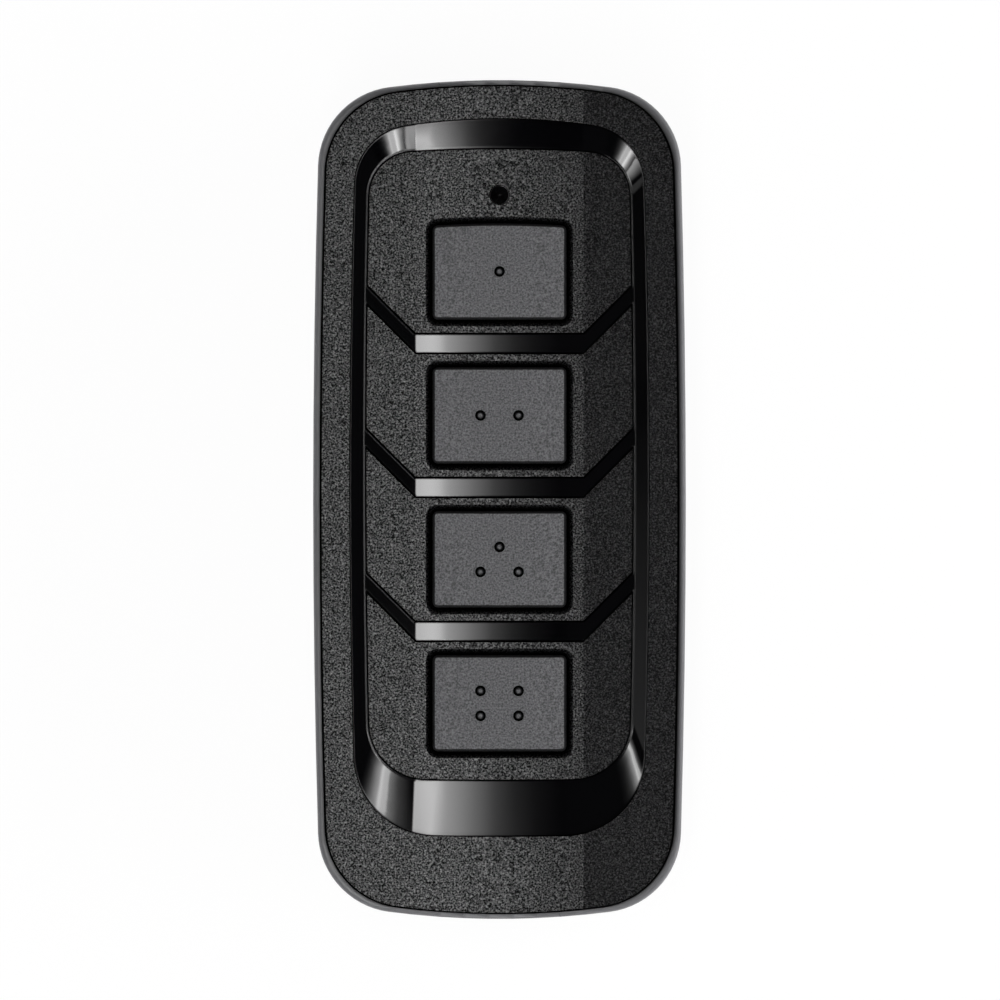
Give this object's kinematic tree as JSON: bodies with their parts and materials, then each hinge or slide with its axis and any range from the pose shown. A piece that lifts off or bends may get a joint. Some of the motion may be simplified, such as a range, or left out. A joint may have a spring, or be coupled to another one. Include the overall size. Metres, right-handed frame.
{
  "type": "alarm key fob",
  "caption": "Slim radio alarm key fob: a faceted two-shell case with a polished bevel ring, chevron bars, an indicator hole and push keys told apart by raised dots.",
  "frame": {"origin": "on the back face, under the middle of the case", "axes": "+X across to the right seen from the front, +Y towards the indicator end, +Z out of the front"},
  "size_m": [0.032, 0.072, 0.013],
  "materials": {
    "textured_black_abs": "spark-textured black ABS",
    "satin_black_abs": "fine satin black ABS",
    "polished_black_abs": "mirror-polished black ABS",
    "panel_black_abs": "spark-textured black ABS",
    "key_grey_abs": "fine-grained dark grey ABS",
    "smoked_acrylic": "smoked clear acrylic",
    "board_green": "green solder mask on glass epoxy",
    "lamp_white": "clear epoxy lamp",
    "switch_plastic": "moulded black nylon",
    "plunger_plastic": "moulded ivory nylon",
    "sheet_steel": "stamped steel sheet",
    "tinned_metal": "tinned copper alloy",
    "chip_plastic": "moulded black epoxy",
    "capacitor_ceramic": "tan ceramic",
    "cell_steel": "nickel-plated steel can",
    "screw_steel": "black zinc steel"
  },
  "bodies": {
    "case": {"antenna": "tinned_metal", "battery_clip": "sheet_steel", "battery_contact": "sheet_steel", "board_screws": "screw_steel", "capacitors": "capacitor_ceramic", "case_screws": "screw_steel", "chip_leads": "tinned_metal", "circuit_board": "board_green", "coin_cell": "cell_steel", "control_chip": "chip_plastic", "crystal": "sheet_steel", "front_cover": "textured_black_abs", "gloss_bezel": "polished_black_abs", "indicator_led": "lamp_white", "key_panel": "panel_black_abs", "light_pipe": "smoked_acrylic", "radio_chip": "chip_plastic", "rear_cover": "satin_black_abs", "resistors": "chip_plastic", "switch_1_body": "switch_plastic", "switch_1_cover": "sheet_steel", "switch_1_dome": "sheet_steel", "switch_2_body": "switch_plastic", "switch_2_cover": "sheet_steel", "switch_2_dome": "sheet_steel", "switch_3_body": "switch_plastic", "switch_3_cover": "sheet_steel", "switch_3_dome": "sheet_steel", "switch_4_body": "switch_plastic", "switch_4_cover": "sheet_steel", "switch_4_dome": "sheet_steel", "switch_terminals": "tinned_metal"},
    "key_1": {"button_1": "key_grey_abs", "switch_1_plunger": "plunger_plastic"},
    "key_2": {"button_2": "key_grey_abs", "switch_2_plunger": "plunger_plastic"},
    "key_3": {"button_3": "key_grey_abs", "switch_3_plunger": "plunger_plastic"},
    "key_4": {"button_4": "key_grey_abs", "switch_4_plunger": "plunger_plastic"}
  },
  "joints": [
    {"name": "press_button_1", "type": "slide", "parent": "case", "child": "key_1", "axis": [0, 0, -1], "range_m": [0, 0.0003], "stiffness_N_per_m": 5000, "deforming": ["switch_1_dome"]},
    {"name": "press_button_2", "type": "slide", "parent": "case", "child": "key_2", "axis": [0, 0, -1], "range_m": [0, 0.0003], "stiffness_N_per_m": 5000, "deforming": ["switch_2_dome"]},
    {"name": "press_button_3", "type": "slide", "parent": "case", "child": "key_3", "axis": [0, 0, -1], "range_m": [0, 0.0003], "stiffness_N_per_m": 5000, "deforming": ["switch_3_dome"]},
    {"name": "press_button_4", "type": "slide", "parent": "case", "child": "key_4", "axis": [0, 0, -1], "range_m": [0, 0.0003], "stiffness_N_per_m": 5000, "deforming": ["switch_4_dome"]}
  ]
}
